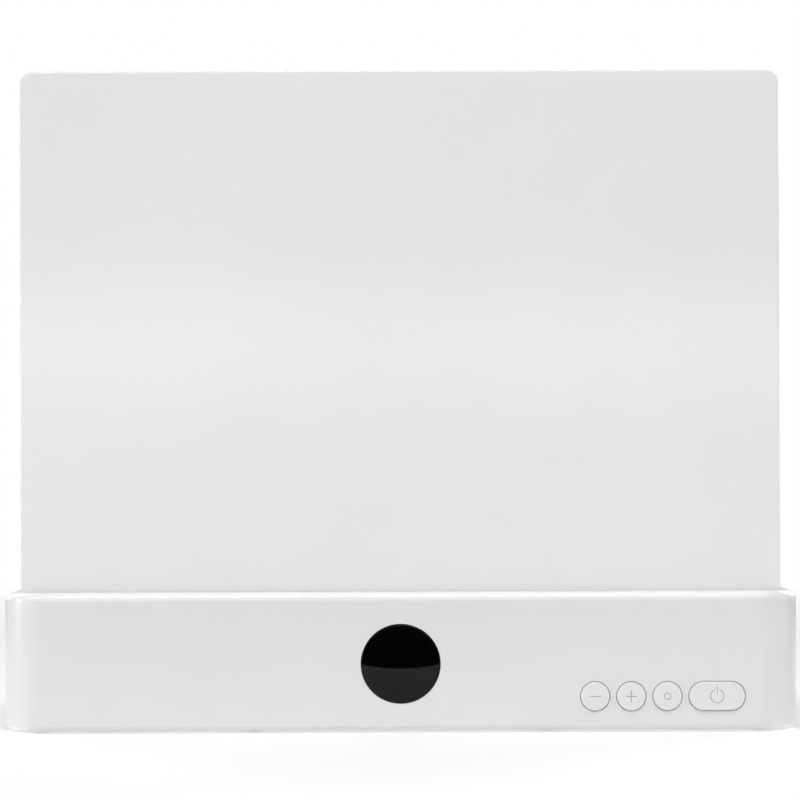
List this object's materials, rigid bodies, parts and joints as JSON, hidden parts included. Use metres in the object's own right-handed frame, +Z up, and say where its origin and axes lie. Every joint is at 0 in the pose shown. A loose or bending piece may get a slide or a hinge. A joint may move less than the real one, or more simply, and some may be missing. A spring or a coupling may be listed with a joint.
{
  "type": "reading lamp",
  "caption": "Free-standing reading lamp: an upright white light panel in a long low base with a round display window and a row of push keys.",
  "frame": {"origin": "on the table plane, below the middle of the base's width and depth", "axes": "+X to the right seen from the front, along the base; +Y from the front to the back; +Z up"},
  "size_m": [0.3046, 0.0906, 0.2529],
  "materials": {
    "white_shell": "fine satin mould texture",
    "key_white": "satin, slightly smoother than the shell",
    "opal_diffuser": "satin, opal, lets light through",
    "window_black": "polished, smoked black",
    "black_moulding": "plain moulded",
    "carrier_grey": "plain moulded",
    "plunger_white": "plain moulded",
    "gasket_foam": "closed-cell foam",
    "foot_rubber": "matt",
    "display_face": "dark display face",
    "circuit_board": "solder mask",
    "plated_steel": "zinc plated",
    "bracket_steel": "bare pressed sheet",
    "ballast_steel": "hot rolled, oiled",
    "spreader_aluminium": "mill finish sheet",
    "capacitor_sleeve": "shrunk sleeve",
    "ferrite": "sintered ferrite",
    "connector_ivory": "plain moulded",
    "lead_jacket": "soft jacket",
    "clear_acrylic": "polished clear sheet",
    "white_film": "plain film",
    "led_phosphor": "phosphor on a white package"
  },
  "bodies": {
    "lamp": {"base_housing": "white_shell", "base_bottom": "white_shell", "ballast_plates": "ballast_steel", "rubber_feet": "foot_rubber", "base_screws": "plated_steel", "display_window": "window_black", "window_gasket": "gasket_foam", "display_shroud": "black_moulding", "display_module": "display_face", "display_board": "circuit_board", "display_screws": "plated_steel", "button_carrier": "carrier_grey", "control_board": "circuit_board", "control_screws": "plated_steel", "tact_switches": "black_moulding", "driver_board": "circuit_board", "driver_screws": "plated_steel", "driver_capacitors": "capacitor_sleeve", "driver_inductor": "ferrite", "driver_chips": "black_moulding", "dc_jack": "black_moulding", "jack_pin": "plated_steel", "board_connectors": "connector_ivory", "panel_lead": "lead_jacket", "control_lead": "lead_jacket", "display_lead": "lead_jacket", "panel_bracket_left": "bracket_steel", "panel_bracket_right": "bracket_steel", "bracket_screws": "plated_steel", "bracket_base_screws": "plated_steel", "clinch_nuts": "plated_steel", "panel_diffuser": "opal_diffuser", "diffuser_sheet": "white_film", "light_guide": "clear_acrylic", "reflector_sheet": "white_film", "heat_spreader": "spreader_aluminium", "led_strips": "circuit_board", "led_packages": "led_phosphor", "led_feed_strip": "circuit_board", "panel_rear_cover": "white_shell", "panel_screws": "plated_steel"},
    "minus_key": {"minus_button": "key_white", "minus_stem": "plunger_white"},
    "plus_key": {"plus_button": "key_white", "plus_stem": "plunger_white"},
    "mode_key": {"mode_button": "key_white", "mode_stem": "plunger_white"},
    "power_key": {"power_button": "key_white", "power_stem": "plunger_white"}
  },
  "joints": [
    {"name": "minus_press", "type": "slide", "parent": "lamp", "child": "minus_key", "axis": [0, 1, 0], "range_m": [0, 0.0005], "stiffness_N_per_m": 3000},
    {"name": "plus_press", "type": "slide", "parent": "lamp", "child": "plus_key", "axis": [0, 1, 0], "range_m": [0, 0.0005], "stiffness_N_per_m": 3000},
    {"name": "mode_press", "type": "slide", "parent": "lamp", "child": "mode_key", "axis": [0, 1, 0], "range_m": [0, 0.0005], "stiffness_N_per_m": 3000},
    {"name": "power_press", "type": "slide", "parent": "lamp", "child": "power_key", "axis": [0, 1, 0], "range_m": [0, 0.0005], "stiffness_N_per_m": 3000}
  ]
}
